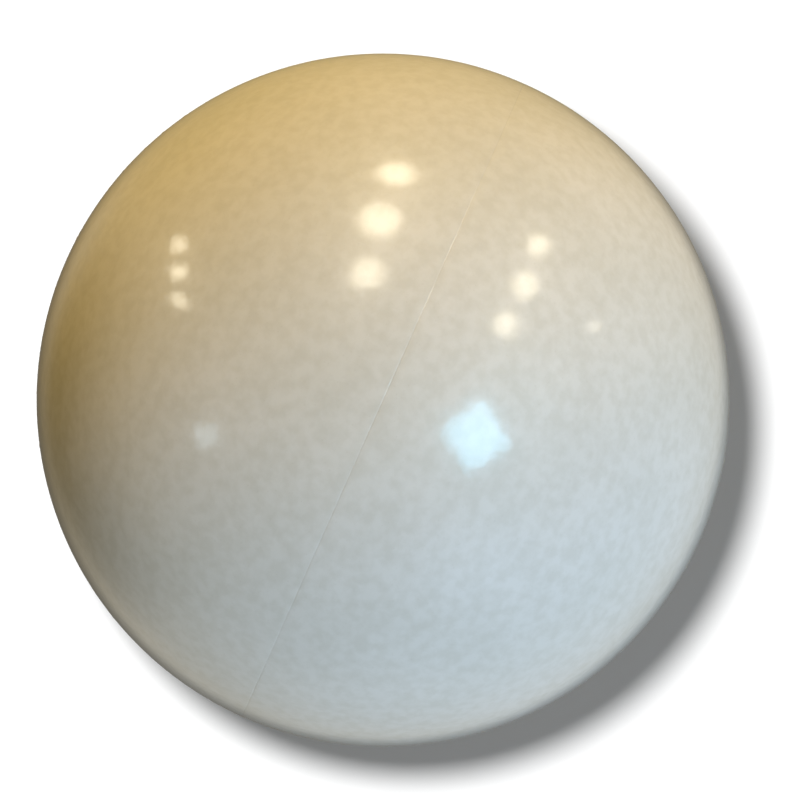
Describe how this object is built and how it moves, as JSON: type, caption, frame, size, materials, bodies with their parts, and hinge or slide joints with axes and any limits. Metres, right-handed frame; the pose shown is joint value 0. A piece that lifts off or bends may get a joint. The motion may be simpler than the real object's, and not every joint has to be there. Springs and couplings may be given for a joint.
{
  "type": "cricket ball",
  "caption": "White leather-covered hard ball with a raised stitched seam round its middle, over a core of cork and wound yarn.",
  "frame": {"origin": "the ball's centre", "axes": "+Z along the seam's axis, square to the plane of the stitched seam; +Y towards the back quarter of the upper cup"},
  "size_m": [0.0738, 0.0738, 0.072],
  "materials": {
    "cover_leather": "glossy lacquered white leather",
    "seam_thread": "waxed linen thread",
    "under_thread": "waxed linen thread",
    "yarn": "worsted wool yarn",
    "cork": "natural cork",
    "core_composite": "cork granules bound in rubber",
    "lining_leather": "thin split leather",
    "packing": "felted cotton packing"
  },
  "bodies": {
    "root": {"core_centre": "core_composite", "yarn_winding_1": "yarn", "cork_layer_1": "cork", "yarn_winding_2": "yarn", "cork_layer_2": "cork", "yarn_winding_3": "yarn", "cork_layer_3": "cork", "yarn_winding_4": "yarn", "cork_layer_4": "cork", "yarn_winding_5": "yarn", "cork_layer_5": "cork", "yarn_binding": "yarn", "lining_upper": "lining_leather", "lining_lower": "lining_leather", "packing_ring": "packing", "lacing_row_upper": "seam_thread", "lacing_row_lower": "seam_thread", "middle_row_upper": "seam_thread", "middle_row_lower": "seam_thread", "outer_row_upper": "seam_thread", "outer_row_lower": "seam_thread", "middle_under_thread_upper": "under_thread", "middle_under_thread_lower": "under_thread", "outer_under_thread_upper": "under_thread", "outer_under_thread_lower": "under_thread", "lacing_crossings": "seam_thread", "cover_quarter_upper_back": "cover_leather", "cover_quarter_upper_front": "cover_leather", "cover_quarter_lower_left": "cover_leather", "cover_quarter_lower_right": "cover_leather", "quarter_stitches_upper": "under_thread", "quarter_stitches_lower": "under_thread"}
  },
  "joints": []
}
